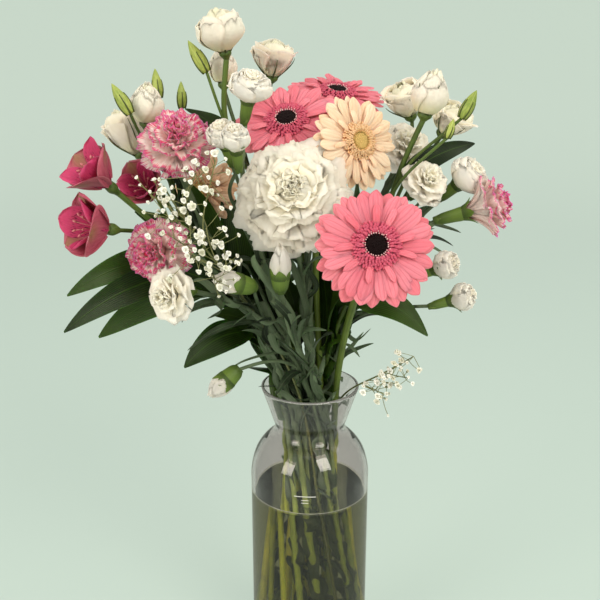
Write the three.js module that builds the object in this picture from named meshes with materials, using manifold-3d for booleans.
// A mixed bunch of cut flowers in a one-litre glass carafe: gerberas, carnations, lisianthus, an alstroemeria
// and baby's breath, standing in water. Millimetres, +Z up, -Y towards the viewer. The origin is the centre
// of the carafe's underside. Every stem runs straight through the water and the carafe's throat, and then
// bends out to its flowers.
import * as THREE from "three";
import { mergeVertices } from "three/addons/utils/BufferGeometryUtils.js";
import Module from "manifold-3d";

const wasm = await Module();
wasm.setup();
const { Manifold, Mesh } = wasm;

const vec = (x, y, z) => new THREE.Vector3(x, y, z);
const UP = vec(0, 0, 1);

// ---- driving dimensions ----

const GAP = 0.35; // between pieces that touch
const BODY_R = 45; // carafe's outer radius
const THROAT_R = 26.4; // outer radius at the narrowest place
const RIM_R = 36.5; // outer radius at the flared lip
const WALL = 2.3; // thickness of the glass
const FLOOR_Z = 6; // top of the glass floor
const SHOULDER_Z = 177; // where the straight body ends
const THROAT_Z = 213;
const RIM_Z = 248;
const WATER_Z = 165;

// Stems in the throat: radius of each ring, and how many stand in it.
const RINGS = [[0, 1], [9, 6], [18.5, 13]];
const TWIST = 1.44; // sideways shift of a stem from throat to floor, as a share of its radius in the throat
const LEAD = 0.7; // how far round from its flower a stem passes the throat, in radians
const STEP = 4; // spacing of the points along a stem
const BLADE = 0.9; // thickness of a petal or a leaf

const COLOURS = {
  glass: 0xdfe8e6, water: 0xb9c8b4, pink: 0xee7f88, peach: 0xf6c49a, white: 0xf4efe2, cream: 0xeee6c4,
  striped: 0xe6829a, magenta: 0x9c2448, dark: 0x1c0d10, amber: 0xc9a05a, green: 0x6b8538, greyGreen: 0x6e8566,
  darkGreen: 0x2a451a, sprig: 0xd9dcc8,
};
const STEM_COLOURS = [["gerbera", "green"], ["carnation", "greyGreen"], ["spray", "greyGreen"],
  ["lisianthus", "darkGreen"], ["alstroemeria", "darkGreen"], ["sprig", "sprig"]];

// ---- the flowers ----
// Each stands in the bunch by the middle of its head, the way it faces, its radius r and its height h from
// the top of the calyx to the crown. Rings of petals are [how many, reach as a share of r, height as a share
// of h].

const FULL = [[8, 1, -0.05], [7, 0.96, 0.4], [6, 0.66, 0.78], [4, 0.28, 0.98]];
const HALF = [[6, 1, 0.12], [5, 0.72, 0.68], [3, 0.28, 0.98]];
const SMALL = [[5, 1, 0.6], [4, 0.5, 1]];

const flowers = {
  gerbera_front: { kind: "gerbera", at: vec(38, -100, 380), face: vec(0.05, -0.86, 0.5), r: 37, h: 12,
    petals: [20, 13] },
  gerbera_back: { kind: "gerbera", at: vec(-17, 8, 444), face: vec(-0.12, -0.62, 0.78), r: 38, h: 12,
    petals: [18, 10] },
  gerbera_top: { kind: "gerbera", at: vec(21, 72, 459), face: vec(0.1, -0.3, 0.95), r: 37, h: 12,
    petals: [16, 9] },
  gerbera_peach: { kind: "gerbera", at: vec(32, -30, 433), face: vec(0.5, -0.8, 0.3), r: 31, h: 12,
    petals: [15, 9], petal: "peach", disc: "amber" },
  gerbera_shaded: { kind: "gerbera", at: vec(-79, 18, 392), face: vec(-0.45, -0.85, 0.25), r: 27, h: 12,
    petals: [15], petal: "peach", disc: "amber" },

  carnation_white: { kind: "carnation", at: vec(-12, -61.5, 405), face: vec(0, -0.9, 0.42), r: 38, h: 38,
    rings: FULL },
  carnation_top: { kind: "carnation", at: vec(-86, -42, 435), face: vec(0.1, -0.72, 0.65), r: 25, h: 27, rings: HALF,
    petal: "striped" },
  carnation_left: { kind: "carnation", at: vec(-100, -64, 367), face: vec(-0.35, -0.93, 0.1), r: 23.5, h: 26,
    rings: HALF, petal: "striped" },
  carnation_right: { kind: "carnation", at: vec(117, -27, 388), face: vec(0.93, -0.17, 0.29), r: 17.5, h: 29,
    rings: SMALL, petal: "striped" },

  spray_a1: { kind: "carnation", at: vec(-38, -55, 468), face: vec(0.2, -0.35, 0.9), r: 12, h: 18, rings: SMALL },
  spray_a2: { kind: "carnation", at: vec(-56, -52, 439), face: vec(-0.2, -0.45, 0.87), r: 9, h: 17, rings: SMALL },
  spray_a3: { kind: "carnation", at: vec(-46, -82, 440), face: vec(-0.05, -0.4, 0.9), r: 8, h: 16, rings: SMALL },
  spray_b1: { kind: "carnation", at: vec(-88, -95, 347), face: vec(-0.6, -0.78, 0.1), r: 17, h: 16, rings: HALF },
  spray_b2: { kind: "bud", at: vec(-52, -72, 349), face: vec(-0.85, -0.35, 0.3), r: 6.5, h: 12 },
  spray_b3: { kind: "bud", at: vec(-61, -60, 273), face: vec(-0.72, -0.3, -0.6), r: 6.5, h: 10 },
  spray_c1: { kind: "bud", at: vec(-20, -72, 360), face: vec(0, -0.15, 1), r: 6, h: 14 },
  spray_d1: { kind: "carnation", at: vec(106, -15, 407), face: vec(0.65, -0.3, 0.65), r: 12.5, h: 20, rings: SMALL },
  spray_d2: { kind: "carnation", at: vec(88, -50, 354), face: vec(0.75, -0.45, 0.45), r: 8.5, h: 17, rings: SMALL },
  spray_d3: { kind: "carnation", at: vec(102, -40, 329), face: vec(0.88, -0.3, 0.38), r: 8.5, h: 17, rings: SMALL },
  spray_e1: { kind: "carnation", at: vec(67, 14, 424), face: vec(0.2, -0.65, 0.7), r: 19, h: 20, rings: HALF },
  spray_e2: { kind: "carnation", at: vec(77, -25, 406), face: vec(0.35, -0.7, 0.6), r: 15, h: 18, rings: SMALL },

  lisianthus_a1: { kind: "cup", at: vec(-61, 5, 502), face: vec(-0.2, -0.1, 0.97), r: 15, h: 27 },
  lisianthus_a2: { kind: "barrel", at: vec(-62, 30, 479), face: vec(-0.05, 0.1, 1), r: 10, h: 24 },
  lisianthus_a3: { kind: "cup", at: vec(-27, 55, 483), face: vec(0.1, -0.1, 0.99), r: 17, h: 26 },
  lisianthus_b1: { kind: "barrel", at: vec(78, -20, 464), face: vec(0.2, -0.1, 0.97), r: 12, h: 28 },
  lisianthus_b2: { kind: "cup", at: vec(68, 38, 455), face: vec(-0.35, -0.2, 0.9), r: 16.5, h: 25 },
  lisianthus_b3: { kind: "cup", at: vec(100, 24, 442), face: vec(0.4, -0.35, 0.85), r: 17.5, h: 22 },
  lisianthus_c1: { kind: "cup", at: vec(-127, 10, 435), face: vec(-0.45, 0.1, 0.88), r: 17, h: 33 },
  lisianthus_c2: { kind: "barrel", at: vec(-108, -20, 457), face: vec(0.1, -0.15, 0.98), r: 11, h: 25 },

  alstroemeria_1: { kind: "funnel", at: vec(-139, -46, 414), face: vec(-0.6, -0.4, 0.7), r: 17, h: 24 },
  alstroemeria_2: { kind: "funnel", at: vec(-139, -68, 384), face: vec(-0.75, -0.6, 0.25), r: 18, h: 24 },
  alstroemeria_3: { kind: "funnel", at: vec(-114, -12, 400), face: vec(-0.3, -0.75, 0.5), r: 14, h: 20 },
};

// What each kind has: its petals' colour, how far the seat of its petals lies behind its middle (share of h),
// and the calyx's radius and length, as [fixed part, share of r] and [fixed part, share of h].
const kinds = {
  gerbera: { petal: "pink", disc: "dark", seat: 0.35, neck: [0, 0.26], calyx: [8, 0] },
  carnation: { petal: "white", seat: 0.45, neck: [2.6, 0.12], calyx: [8, 0.5] },
  bud: { petal: "white", seat: 0.5, neck: [0, 1], calyx: [20, 0] },
  cup: { petal: "cream", seat: 0.5, neck: [0, 0.28], calyx: [6, 0] },
  barrel: { petal: "cream", seat: 0.5, neck: [0, 0.42], calyx: [6, 0] },
  funnel: { petal: "magenta", seat: 0.5, neck: [0, 0.22], calyx: [9, 0] },
};

for (const [name, flower] of Object.entries(flowers)) {
  const kind = kinds[flower.kind];
  flower.name = name;
  flower.petal ??= kind.petal;
  flower.disc ??= kind.disc;
  flower.face.normalize();
  flower.neck = kind.neck[0] + kind.neck[1] * flower.r;
  flower.calyx = kind.calyx[0] + kind.calyx[1] * flower.h;
  flower.seat = flower.at.clone().addScaledVector(flower.face, -kind.seat * flower.h);
}

// ---- the stems ----
// first is the flower that ends the main stem. Forks are [flower, share of the way up where it leaves].
// Green buds are [middle, direction, radius, height, share]. Leaves are [share, tip, width, arch]. Florets
// are [tip, share], each on a thin branch.

const stems = {
  gerbera_front: { first: "gerbera_front", radius: 2.5 },
  gerbera_back: { first: "gerbera_back", radius: 2.5 },
  gerbera_top: { first: "gerbera_top", radius: 2.5 },
  gerbera_peach: { first: "gerbera_peach", radius: 2.4 },
  gerbera_shaded: { first: "gerbera_shaded", radius: 2.2 },
  carnation_white: { first: "carnation_white", radius: 2.1, leaves: [[0.55, vec(18, -34, 352), 6, 9]] },
  carnation_top: { first: "carnation_top", radius: 2 },
  carnation_left: { first: "carnation_left", radius: 2, leaves: [[0.5, vec(-96, -32, 308), 7, 9]] },
  carnation_right: { first: "carnation_right", radius: 2,
    leaves: [[0.45, vec(80, -42, 302), 15, 12], [0.7, vec(104, 12, 352), 7, 9]] },
  spray_a: { first: "spray_a1", radius: 1.7, forks: [["spray_a2", 0.68], ["spray_a3", 0.6]],
    leaves: [[0.5, vec(-58, -50, 352), 6, 8]] },
  spray_b: { first: "spray_b1", radius: 1.7, forks: [["spray_b2", 0.55], ["spray_b3", 0.3]],
    leaves: [[0.28, vec(-24, -66, 268), 6, 6], [0.55, vec(-78, -92, 310), 6, 8]] },
  spray_c: { first: "spray_c1", radius: 1.7,
    leaves: [[0.45, vec(14, -76, 316), 6, 7], [0.6, vec(-2, -86, 330), 5, 6]] },
  spray_d: { first: "spray_d1", radius: 1.7, forks: [["spray_d2", 0.4], ["spray_d3", 0.3]],
    leaves: [[0.3, vec(56, 34, 292), 6, 8], [0.6, vec(92, 26, 362), 6, 8]] },
  spray_e: { first: "spray_e1", radius: 1.7, forks: [["spray_e2", 0.6]],
    leaves: [[0.5, vec(52, 78, 352), 6, 9], [0.3, vec(2, 72, 300), 6, 9]] },
  lisianthus_a: { first: "lisianthus_a1", radius: 1.9, forks: [["lisianthus_a2", 0.72], ["lisianthus_a3", 0.62]],
    leaves: [[0.72, vec(-84, -14, 452), 13, 6], [0.35, vec(-46, 32, 296), 15, 8]],
    buds: [[vec(-77, 8, 485), vec(-0.5, 0, 0.87), 4.8, 24, 0.78]] },
  lisianthus_b: { first: "lisianthus_b1", radius: 1.9, forks: [["lisianthus_b2", 0.6], ["lisianthus_b3", 0.5]],
    leaves: [[0.66, vec(64, -46, 386), 13, 6], [0.8, vec(112, -4, 428), 12, 5]],
    buds: [[vec(102, -28, 456), vec(0.45, 0, 0.9), 4.5, 20, 0.7],
      [vec(90, -32, 441), vec(0.3, 0, 0.95), 3, 13, 0.66]] },
  lisianthus_c: { first: "lisianthus_c2", radius: 1.9, forks: [["lisianthus_c1", 0.6]],
    leaves: [[0.5, vec(-108, 26, 352), 15, 8], [0.3, vec(-66, 36, 288), 16, 9]],
    buds: [[vec(-122, -34, 460), vec(-0.5, 0, 0.87), 4.5, 22, 0.8],
      [vec(-106, 12, 467), vec(-0.1, 0.1, 1), 4, 20, 0.75], [vec(-88, 2, 460), vec(0, 0, 1), 3.5, 18, 0.7]] },
  alstroemeria: { first: "alstroemeria_1", radius: 1.9, forks: [["alstroemeria_2", 0.66], ["alstroemeria_3", 0.72]],
    leaves: [[0.66, vec(-158, -66, 338), 11, 10], [0.6, vec(-158, -80, 318), 12, 12],
      [0.55, vec(-142, -56, 306), 13, 9], [0.35, vec(-88, -40, 278), 13, 9]] },
  sprig_left: { tip: vec(-90, -82, 412), radius: 1.2, florets: [[vec(-98, -86, 408), 0.9], [vec(-88, -90, 396), 0.85],
    [vec(-76, -92, 404), 0.85], [vec(-70, -84, 420), 0.9], [vec(-58, -84, 428), 0.8], [vec(-84, -96, 384), 0.75],
    [vec(-74, -98, 376), 0.7], [vec(-64, -90, 388), 0.7], [vec(-54, -84, 372), 0.6], [vec(-60, -94, 360), 0.55]] },
  sprig_right: { tip: vec(62, -38, 280), radius: 1.2, florets: [[vec(44, -44, 262), 0.6], [vec(52, -36, 256), 0.6],
    [vec(60, -30, 262), 0.7], [vec(68, -40, 270), 0.85], [vec(72, -34, 284), 0.9], [vec(56, -48, 276), 0.8]] },
};

// ---- the paths of the stems ----

// Points along a cubic curve from one place and direction to another.
function curve(from, leaving, to, arriving, bend = 0.38) {
  const reach = from.distanceTo(to) * bend;
  const near = from.clone().addScaledVector(leaving, reach);
  const far = to.clone().addScaledVector(arriving, -reach);
  const path = new THREE.CubicBezierCurve3(from, near, far, to);
  return path.getPoints(Math.ceil((from.distanceTo(to) * 1.1) / STEP));
}

// The stems share out the throat: those that lean least stand in the middle, and each ring is filled in the
// order in which its stems lean.
function shareThroat() {
  const leaning = Object.values(stems).map((stem) => {
    const end = stem.first ? flowers[stem.first].seat : stem.tip;
    return { stem, way: Math.atan2(end.y, end.x) + LEAD, lean: Math.hypot(end.x, end.y) / (end.z - THROAT_Z) };
  }).sort((a, b) => a.lean - b.lean);
  for (const [radius, count] of RINGS) {
    const ring = leaning.splice(0, count).sort((a, b) => a.way - b.way);
    const pitch = (2 * Math.PI) / count;
    const mean = vec(0, 0, 0);
    ring.forEach(({ way }, k) => mean.add(vec(Math.cos(way - k * pitch), Math.sin(way - k * pitch), 0)));
    const start = Math.atan2(mean.y, mean.x);
    ring.forEach(({ stem }, k) => {
      const angle = start + k * pitch;
      stem.throat = vec(radius * Math.cos(angle), radius * Math.sin(angle), THROAT_Z);
      const shift = vec(-stem.throat.y, stem.throat.x, 0).multiplyScalar(TWIST);
      stem.foot = stem.throat.clone().add(shift).setZ(FLOOR_Z + GAP);
      stem.way = stem.throat.clone().sub(stem.foot).normalize();
    });
  }
}

const STAR_WAY = vec(0, -0.6, 0.8); // the way a floret of baby's breath faces

// A strand is a run of points that may be pushed aside: the part of a stem above the throat, or a branch, whose
// radius is a share of the stem's.
const FORK_SHARE = 0.72, BUD_SHARE = 0.55, FLORET_SHARE = 0.5;

function branch(stem, parent, share, to, arriving, end, radius) {
  const index = Math.round(share * (parent.rest.length - 1));
  const leaving = parent.rest[index + 1].clone().sub(parent.rest[index]).normalize();
  return { stem, parent, index, end, radius, rest: curve(parent.rest[index], leaving, to, arriving) };
}

function strandsOf(stem) {
  const end = stem.first ? flowers[stem.first] : null;
  const to = end ? end.seat : stem.tip;
  const arriving = end ? end.face : to.clone().sub(stem.throat).normalize();
  const main = { stem, end, radius: stem.radius, rest: curve(stem.throat, stem.way, to, arriving) };
  const strands = [main];
  for (const [name, share] of stem.forks ?? []) {
    const flower = flowers[name];
    strands.push(branch(stem, main, share, flower.seat, flower.face, flower, FORK_SHARE * stem.radius));
  }
  for (const [middle, way, r, h, share] of stem.buds ?? []) {
    way.normalize();
    const foot = middle.clone().addScaledVector(way, -h / 2);
    const stalk = branch(stem, main, share, foot, way, null, BUD_SHARE * stem.radius);
    strands.push({ ...stalk, bud: { foot, way, r, h } });
  }
  for (const [tip, share] of stem.florets ?? [])
    strands.push({ ...branch(stem, main, share, tip, STAR_WAY, null, FLORET_SHARE * stem.radius), star: true });
  for (const strand of strands) strand.move = strand.rest.map(() => vec(0, 0, 0));
  return strands;
}

const CLEAR = 1.6; // room kept between strands
const ROUNDS = 140;

const radiusAt = (strand, k) => {
  const left = (strand.rest.length - 1 - k) * STEP;
  return strand.end && left < strand.end.calyx ? Math.max(strand.end.neck, strand.radius) : strand.radius;
};

// Pushes two strands' points apart.
function pushApart(a, b) {
  const need = a.r + b.r + CLEAR;
  const dx = a.p.x - b.p.x, dy = a.p.y - b.p.y, dz = a.p.z - b.p.z;
  if (Math.abs(dx) > need || Math.abs(dy) > need || Math.abs(dz) > need) return;
  const apart = Math.max(Math.sqrt(dx * dx + dy * dy + dz * dz), 0.01);
  if (apart >= need) return;
  const share = (need - apart) / (2 * apart);
  a.push.add(vec(dx, dy, dz).multiplyScalar(share));
  b.push.sub(vec(dx, dy, dz).multiplyScalar(share));
}

// Pushes a strand's point out of the room that a head takes up, a flattened ball.
function pushOut(bead, { flower, middle, turn, wide, deep }) {
  if (bead.strand.end === flower) return;
  const local = bead.p.clone().sub(middle);
  const a = wide + bead.r, b = deep + bead.r;
  if (local.lengthSq() > Math.max(a, b) ** 2) return;
  local.applyQuaternion(turn);
  const f = Math.sqrt((local.x ** 2 + local.y ** 2) / (a * a) + local.z ** 2 / (b * b));
  if (f >= 1) return;
  const slope = vec(local.x / (a * a), local.y / (a * a), local.z / (b * b)).divideScalar(Math.max(f, 0.05));
  slope.multiplyScalar((1 - f) / slope.lengthSq()).clampLength(0, 6);
  bead.push.add(slope.applyQuaternion(turn.clone().invert()));
}

// Settles the strands clear of each other, round the heads and inside the lip, with the pushes evened out.
function settle(strands) {
  const rooms = Object.values(flowers).map((flower) => {
    const { kind, at, face, r, h } = flower;
    const back = kind === "carnation" ? 0.2 * h : 0;
    const deep = { gerbera: 11, carnation: 0.65 * h + 6 }[kind] ?? h / 2 + 4;
    const turn = new THREE.Quaternion().setFromUnitVectors(face, UP);
    return { flower, middle: at.clone().addScaledVector(face, -back), turn, wide: 1.05 * r + 4, deep };
  });
  for (let round = 0; round < ROUNDS; round++) {
    const beads = strands.flatMap((strand) => strand.rest.map((rest, k) => (
      { strand, k, p: rest.clone().add(strand.move[k]), r: radiusAt(strand, k), push: vec(0, 0, 0) })));
    for (let i = 0; i < beads.length; i++)
      for (let j = i + 1; j < beads.length; j++)
        if (beads[i].strand.stem !== beads[j].strand.stem) pushApart(beads[i], beads[j]);
    for (const bead of beads) {
      for (const room of rooms) pushOut(bead, room);
      const lip = bead.p.z < RIM_Z + 4 ? glassInside(bead.p.z) - bead.r - 2.5 : Infinity;
      const out = Math.hypot(bead.p.x, bead.p.y);
      if (out > lip) bead.push.add(vec(bead.p.x, bead.p.y, 0).multiplyScalar((lip - out) / out));
      bead.strand.move[bead.k].add(bead.push);
    }
    for (const strand of strands) {
      const before = strand.move.map((move) => move.clone());
      const last = before.length - 1;
      for (let k = 1; k < last; k++)
        strand.move[k].addVectors(before[k - 1], before[k + 1]).multiplyScalar(0.25).addScaledVector(before[k], 0.5);
      strand.move[0].copy(strand.parent ? strand.parent.move[strand.index] : vec(0, 0, 0));
      strand.move[last].set(0, 0, 0);
    }
  }
  for (const strand of strands)
    strand.points = strand.rest.map((rest, k) => rest.clone().add(strand.move[k]));
}

// ---- solids ----

// A manifold-3d solid from a closed three.js geometry.
function solidOf(geometry) {
  const bare = geometry.clone();
  bare.deleteAttribute("normal");
  bare.deleteAttribute("uv");
  const merged = mergeVertices(bare, 1e-4);
  return new Manifold(new Mesh({
    numProp: 3,
    vertProperties: new Float32Array(merged.attributes.position.array),
    triVerts: new Uint32Array(merged.index.array),
  }));
}

// A solid from corner points and triangles.
function solidFrom(points, triangles) {
  const geometry = new THREE.BufferGeometry().setFromPoints(points);
  geometry.setIndex(triangles.flat());
  return solidOf(geometry);
}

const join = (solids) => Manifold.union(solids);

const bouquet = new THREE.Group();

// Adds a solid to the bunch as one named mesh.
function place(name, solid, colour, finish = {}) {
  const mesh = solid.getMesh();
  const geometry = new THREE.BufferGeometry();
  geometry.setAttribute("position", new THREE.BufferAttribute(new Float32Array(mesh.vertProperties), 3));
  geometry.setIndex(new THREE.BufferAttribute(new Uint32Array(mesh.triVerts), 1));
  const look = { color: COLOURS[colour], roughness: 0.7, metalness: 0, ...finish };
  const node = new THREE.Mesh(geometry, new THREE.MeshStandardMaterial(look));
  node.name = name;
  bouquet.add(node);
}

// A body turned round Z from [radius, height] pairs that start and end on the axis, from the bottom up.
function turned(profile, sides) {
  const outline = profile.map(([r, z]) => new THREE.Vector2(r, z));
  return solidOf(new THREE.LatheGeometry(outline, sides).rotateX(Math.PI / 2));
}

// Moves a solid built round +Z so that it faces along a direction from a point.
function stood(solid, point, direction) {
  const turn = new THREE.Quaternion().setFromUnitVectors(UP, direction);
  return solid.transform(new THREE.Matrix4().compose(point, turn, vec(1, 1, 1)).elements);
}

// The surface's normal at a place, half a blade long, from four places beside it.
function halfBlade(at, u, v) {
  const nudge = 0.02;
  const across = at(u + nudge, v).sub(at(u - nudge, v));
  return across.cross(at(u, v + nudge).sub(at(u, Math.max(v - nudge, 0)))).setLength(BLADE / 2);
}

// A thin blade. at(u, v) is its middle surface, with u from -1 to 1 across it and v from 0 at the root to 1 at
// the tip. Its two faces meet at the edges and at the tip.
function blade(at, across, along) {
  const points = [], rows = [], triangles = [];
  for (let j = 0; j <= along; j++) {
    const row = [];
    for (let i = 0; i <= across; i++) {
      const u = (2 * i) / across - 1, v = j / along;
      const here = at(u, v);
      if (i === 0 || i === across || j === along) {
        row.push([points.length, points.length]);
        points.push(here);
        continue;
      }
      const normal = halfBlade(at, u, v);
      row.push([points.length, points.length + 1]);
      points.push(here.clone().add(normal), here.clone().sub(normal));
    }
    rows.push(row);
  }
  const add = (...corners) => {
    if (new Set(corners).size === 3) triangles.push(corners);
  };
  for (let j = 0; j < along; j++)
    for (let i = 0; i < across; i++) {
      const [a, b, c, d] = [rows[j][i], rows[j][i + 1], rows[j + 1][i + 1], rows[j + 1][i]];
      add(a[0], b[0], c[0]);
      add(a[0], c[0], d[0]);
      add(b[1], a[1], c[1]);
      add(c[1], a[1], d[1]);
    }
  for (let i = 0; i < across; i++) {
    const [a, b] = [rows[0][i], rows[0][i + 1]];
    add(a[1], b[1], b[0]);
    add(a[1], b[0], a[0]);
  }
  return solidFrom(points, triangles);
}

// A rod through stations of [point, radius]. Its rings lie square to its run, but the first few may lie level.
function rod(stations, sides, level = 0) {
  const points = [], triangles = [];
  let side = vec(1, 0, 0);
  stations.forEach(([point, radius], k) => {
    const [before] = stations[Math.max(k - 1, 0)], [after] = stations[Math.min(k + 1, stations.length - 1)];
    const way = k < level ? UP : after.clone().sub(before).normalize();
    side = side.clone().addScaledVector(way, -side.dot(way)).normalize();
    const other = way.clone().cross(side);
    for (let i = 0; i < sides; i++) {
      const angle = (2 * Math.PI * i) / sides;
      const rim = side.clone().multiplyScalar(Math.cos(angle)).addScaledVector(other, Math.sin(angle));
      points.push(point.clone().addScaledVector(rim, radius));
    }
  });
  for (let k = 0; k + 1 < stations.length; k++)
    for (let i = 0; i < sides; i++) {
      const a = k * sides + i, b = k * sides + ((i + 1) % sides);
      triangles.push([a, b, b + sides], [a, b + sides, a + sides]);
    }
  const last = (stations.length - 1) * sides;
  for (let i = 1; i + 1 < sides; i++) triangles.push([0, i + 1, i], [last, last + i, last + i + 1]);
  return solidFrom(points, triangles);
}

// ---- the carafe and the water ----

// Outer profile of the carafe from the heel up, as [radius, height].
const OUTSIDE = [[42.5, 0], [BODY_R, 4], [BODY_R, SHOULDER_Z], [43.6, 187.5], [40.7, 197], [34.9, 205.5],
  [THROAT_R, THROAT_Z], [28.9, 225], [RIM_R, RIM_Z]];
const SIDES = 28; // of the turned glass and water
const STEM_SIDES = 5;

// The glass's inner radius at a height.
function glassInside(z) {
  if (z >= RIM_Z) return RIM_R - WALL;
  const k = OUTSIDE.findIndex(([, top]) => top > z);
  const [[r0, z0], [r1, z1]] = [OUTSIDE[k - 1], OUTSIDE[k]];
  return r0 + ((r1 - r0) * (z - z0)) / (z1 - z0) - WALL;
}

function glass() {
  const inside = OUTSIDE.slice(2).reverse().map(([r, z]) => [r - WALL, z]);
  const lip = [[RIM_R - 0.4, RIM_Z + 1], [RIM_R - WALL + 0.4, RIM_Z + 1]];
  const r = BODY_R - WALL;
  const floor = [[r, FLOOR_Z + 4], [r - 3, FLOOR_Z], [0, FLOOR_Z]];
  return turned([[0, 0], ...OUTSIDE, ...lip, ...inside, ...floor], SIDES);
}

// The straight lower part of a stem between two heights.
function straight(stem, radius, low, high) {
  const at = (z) => stem.foot.clone().lerp(stem.throat, (z - stem.foot.z) / (THROAT_Z - stem.foot.z));
  return rod([[at(low), radius], [at(high), radius]], STEM_SIDES, 2);
}

function water() {
  const r = BODY_R - WALL - GAP, bottom = FLOOR_Z + GAP;
  const body = turned([[0, bottom], [r - 3, bottom], [r, bottom + 4], [r, WATER_Z], [0, WATER_Z]], SIDES);
  const holes = Object.values(stems).map((stem) => straight(stem, stem.radius + GAP, FLOOR_Z - 4, WATER_Z + 6));
  return body.subtract(join(holes));
}

// ---- the heads ----

// One body of petals that share a round plate in their middle. at(spin, u, v) is a petal's middle surface, with
// u from -1 to 1 across it and v from 0 at the plate's edge to 1 at the tip; the petals meet only at the plate.
function whorl(count, plateR, plateZ, turn, at, across = 2, along = 2) {
  const points = [vec(0, 0, plateZ - BLADE / 2), vec(0, 0, plateZ + BLADE / 2)], triangles = [];
  const pitch = (2 * Math.PI) / count, mid = across / 2;
  for (let k = 0; k < count; k++) {
    const angle = turn + (k - 0.5) * pitch;
    const corner = vec(plateR * Math.cos(angle), plateR * Math.sin(angle), plateZ);
    points.push(corner.clone().addScaledVector(UP, -BLADE / 2), corner.clone().addScaledVector(UP, BLADE / 2));
  }
  const add = (...corners) => {
    if (new Set(corners).size === 3) triangles.push(corners);
  };
  const both = (a, b, c) => {
    add(a[0], b[0], c[0]);
    add(b[1], a[1], c[1]);
  };
  for (let k = 0; k < count; k++) {
    const spin = turn + k * pitch;
    const next = (k + 1) % count;
    const left = [2 + 2 * k, 3 + 2 * k], right = [2 + 2 * next, 3 + 2 * next];
    const rows = [];
    for (let j = 1; j <= along; j++) {
      rows.push(Array.from({ length: across + 1 }, (_, i) => {
        const u = (2 * i) / across - 1, v = j / along;
        const here = at(spin, u, v), first = points.length;
        if (i === 0 || i === across || j === along) {
          points.push(here);
          return [first, first];
        }
        const normal = halfBlade((across, along) => at(spin, across, along), u, v);
        points.push(here.clone().add(normal), here.clone().sub(normal));
        return [first, first + 1];
      }));
    }
    const [base] = rows, last = base.length - 1;
    both(right, left, [0, 1]);
    both(left, right, base[mid]);
    for (let i = 0; i < mid; i++) both(left, base[i + 1], base[i]);
    for (let i = mid; i < across; i++) both(right, base[i + 1], base[i]);
    add(left[0], base[0][0], left[1]);
    add(right[0], right[1], base[last][0]);
    for (let j = 0; j + 1 < rows.length; j++)
      for (let i = 0; i < across; i++) {
        both(rows[j][i], rows[j][i + 1], rows[j + 1][i + 1]);
        both(rows[j][i], rows[j + 1][i + 1], rows[j + 1][i]);
      }
  }
  return solidFrom(points, triangles);
}

// The pin through the middle of the plates, with a flat foot that the head sits by.
function pin(foot, waist, low, high) {
  return turned([[0, low], [foot, low], [waist, low + 0.5], [waist, high], [0, high]], 5);
}

// A point at a radius, an angle round Z and a height.
const around = (r, angle, z) => vec(r * Math.cos(angle), r * Math.sin(angle), z);

const CUSHION = 3.4; // half the height of a gerbera's middle, between its bracts and its disc
const TUFTS = 9; // short petals round its disc

// Long flat petals in one or two layers, and a ring of short petals round the disc.
function gerberaHead({ r, petals }) {
  const parts = [pin(0.24 * r, 0.2 * r, -CUSHION, CUSHION)];
  petals.forEach((count, layer) => {
    const half = (0.95 * Math.PI) / count, plate = 0.3 * r;
    parts.push(whorl(count, plate, -1.6 + 2.2 * layer, layer * half, (spin, u, v) => {
      const reach = r * (1 - 0.14 * layer) * (0.98 + 0.03 * Math.sin(5 * spin + layer));
      const out = plate + (reach - plate) * (v - 0.09 * u * u * v);
      const angle = spin + u * half * (v < 0.6 ? 1 : 1.6 - v);
      const sweep = (0.5 + 1.6 * layer) * Math.sin(0.8 * Math.PI * v) - 2.2 * v * v * (1 - layer);
      return around(out, angle, -1 + 2.2 * layer + sweep - 0.5 * u * u);
    }));
  });
  const tuft = (spin, u, v) => around(r * (0.24 + 0.17 * v), spin + 0.17 * u, 2.4 + 2.2 * v);
  parts.push(whorl(TUFTS, 0.24 * r, 2.4, 0, tuft, 2, 1));
  return join(parts);
}

function gerberaDisc({ r }) {
  const low = CUSHION + GAP;
  return turned([[0, low], [0.18 * r, low], [0.19 * r, low + 0.8], [0.14 * r, low + 2], [0, low + 2.4]], 8);
}

// Rings of petals that open from a narrow neck, the inner ones upright. Broad petals are waved along their edge.
function carnationHead({ r, h, neck, rings }) {
  const plate = 0.8 * neck, across = r > 30 ? 4 : 2;
  const parts = [pin(neck - 0.6, 0.35 * neck, 0, 1.5 + rings.length)];
  rings.forEach(([count, out, up], ring) => {
    const spread = 0.95 * Math.tan(Math.PI / count), low = 1 + ring;
    parts.push(whorl(count, plate * (1 - 0.15 * ring), low, (ring * Math.PI) / count, (spin, u, v) => {
      const crest = 0.07 * r * v * v * Math.cos((Math.PI * across * (u + 1)) / 2);
      const rise = h * up * Math.sin((Math.PI / 2) * v) * (1 - 0.1 * u * u);
      const reach = plate + (r * out - plate) * (0.3 * v + 0.7 * v * v);
      const middle = around(reach - crest * up, spin, low + rise + crest * (1 - up));
      return middle.add(around(u * spread * reach, spin + Math.PI / 2, 0));
    }, across));
  });
  return join(parts);
}

function budTip({ r, h }) {
  return turned([[0, 0], [0.72 * r, 0], [0.8 * r, 0.4 * h], [0.55 * r, 0.8 * h], [0, h]], 6);
}

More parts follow.
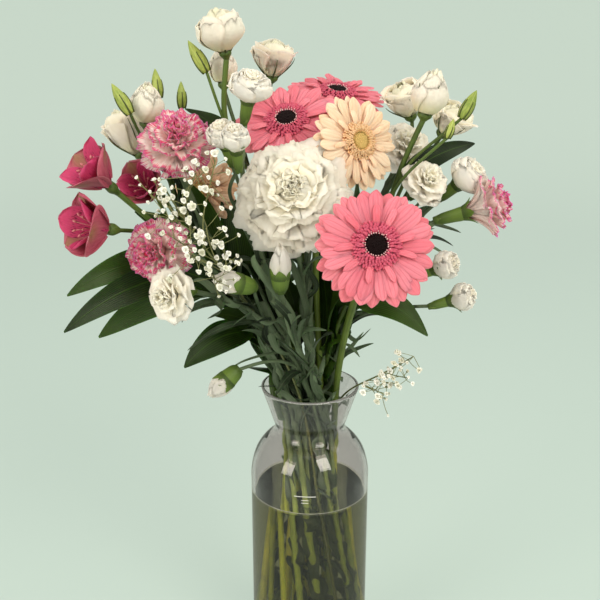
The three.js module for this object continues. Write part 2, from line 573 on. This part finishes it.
// A cup of petals stood round each other.
function cupHead({ kind, r, h, neck }) {
  const closed = kind === "barrel", plate = 0.75 * neck;
  const parts = [pin(neck - 0.5, 0.35 * neck, 0, 4)];
  [[5, 1, 0.92], [3, 0.5, 1]].forEach(([count, out, up], layer) => {
    const half = (0.97 * Math.PI) / count, low = 1.2 + 1.6 * layer;
    parts.push(whorl(count, plate * (1 - 0.3 * layer), low, layer * half, (spin, u, v) => {
      const belly = closed ? Math.sin(Math.PI * (0.2 + 0.54 * v)) : 0.3 + 0.7 * v;
      const rise = (h * up - low) * (v - 0.1 * u * u * v);
      return around(Math.max(r * out * belly, 0.5 * plate), spin + u * half, low + rise);
    }));
  });
  return join(parts);
}

// Six petals that open from a tube, three broad and three narrow.
function funnelHead({ r, h, neck }) {
  const plate = 0.7 * neck, low = 1.2;
  const petals = whorl(6, plate, low, 0, (spin, u, v) => {
    const reach = plate + (r - plate) * v * v;
    const broad = r * (0.34 + 0.06 * Math.cos(3 * spin)) * Math.sin(Math.PI * (0.1 + 0.72 * v));
    const middle = around(reach, spin, low + h * Math.sin((Math.PI / 2) * v) - 1.2 * u * u);
    return middle.add(around(u * Math.min(0.5 * reach, broad), spin + Math.PI / 2, 0));
  }, 2, 3);
  return join([pin(neck - 0.5, 0.35 * neck, 0, 2 * low), petals]);
}

const heads = {
  gerbera: gerberaHead, carnation: carnationHead, bud: budTip, cup: cupHead, barrel: cupHead, funnel: funnelHead,
};

// How a stem swells under a head, as [distance behind the seat, radius].
function swelling({ kind, r, neck, calyx }, radius) {
  if (kind === "gerbera") return [[calyx + 5, radius], [7, 0.2 * r], [CUSHION + GAP, 0.25 * r]];
  return [[calyx, radius], [0.8 * calyx, Math.max(0.75 * neck, radius)], [0.35 * calyx, neck], [GAP, 0.9 * neck]];
}

// ---- stems, branches and leaves ----

const STRIDE = 9; // points of a strand from one ring of its rod to the next
const FLORET_STRIDE = 5;

// How a green bud tapers, as [share of its height, share of its radius], and how a floret opens from its
// branch's end, as [height, radius].
const BUD_SHAPE = [[0.35, 1], [0.75, 0.75], [1, 0.2]];
const FLORET_SHAPE = [[1.2, 3], [2.2, 0.8]];

// The rings of a strand's rod, as [point, radius], out to the top of its calyx, the tip of its bud or its floret.
function rings({ points, end, bud, radius, star }) {
  const swell = end ? swelling(end, radius) : [];
  const spare = end ? Math.ceil(swell[0][0] / STEP) + 1 : 0;
  const last = points.length - 1 - spare;
  const count = Math.max(1, Math.round(last / (star ? FLORET_STRIDE : STRIDE)));
  const run = Array.from({ length: count + 1 }, (_, k) => [points[Math.round((k * last) / count)], radius]);
  const add = (from, way, up, r) => run.push([from.clone().addScaledVector(way, up), r]);
  for (const [behind, r] of swell) add(end.seat, end.face, -behind, r);
  if (bud) for (const [up, r] of BUD_SHAPE) add(bud.foot, bud.way, up * bud.h, r * bud.r);
  if (star) for (const [up, r] of FLORET_SHAPE) add(points.at(-1), STAR_WAY, up, r);
  return run;
}

// A leaf from a point on a stem to its tip, arched upward, folded along its middle.
function leaf(root, tip, width, arch) {
  const way = tip.clone().sub(root);
  const side = way.clone().cross(UP).normalize();
  const lift = side.clone().cross(way).normalize();
  return blade((u, v) => root.clone().addScaledVector(way, v)
    .addScaledVector(lift, arch * 4 * v * (1 - v) + 0.12 * width * u * u)
    .addScaledVector(side, (u * width * Math.sin(Math.PI * (0.12 + 0.86 * v))) / 2), 2, width > 8 ? 3 : 2);
}

function stemSolid(stem) {
  const [main, ...branches] = stem.strands;
  const parts = [rod([[stem.foot, stem.radius], ...rings(main)], STEM_SIDES, 1)];
  for (const strand of branches) parts.push(rod(rings(strand), strand.end ? STEM_SIDES : 4));
  for (const [share, tip, width, arch] of stem.leaves ?? [])
    parts.push(leaf(main.points[Math.round(share * (main.points.length - 1))], tip, width, arch));
  return join(parts);
}

// ---- the bunch ----

shareThroat();
for (const stem of Object.values(stems)) stem.strands = strandsOf(stem);
settle(Object.values(stems).flatMap((stem) => stem.strands));

place("glass_carafe", glass(), "glass", { roughness: 0.05, transparent: true, opacity: 0.35 });
place("water", water(), "water", { roughness: 0.02, transparent: true, opacity: 0.5 });
for (const flower of Object.values(flowers)) {
  const { name, kind, seat, face, petal, disc } = flower;
  place(`${name}_petals`, stood(heads[kind](flower), seat, face), petal);
  if (kind === "gerbera") place(`${name}_disc`, stood(gerberaDisc(flower), seat, face), disc);
}
for (const [name, stem] of Object.entries(stems)) {
  const node = stem.florets ? name : `${name}_stem`;
  place(node, stemSolid(stem), STEM_COLOURS.find(([kind]) => name.startsWith(kind))[1]);
}

export default bouquet;
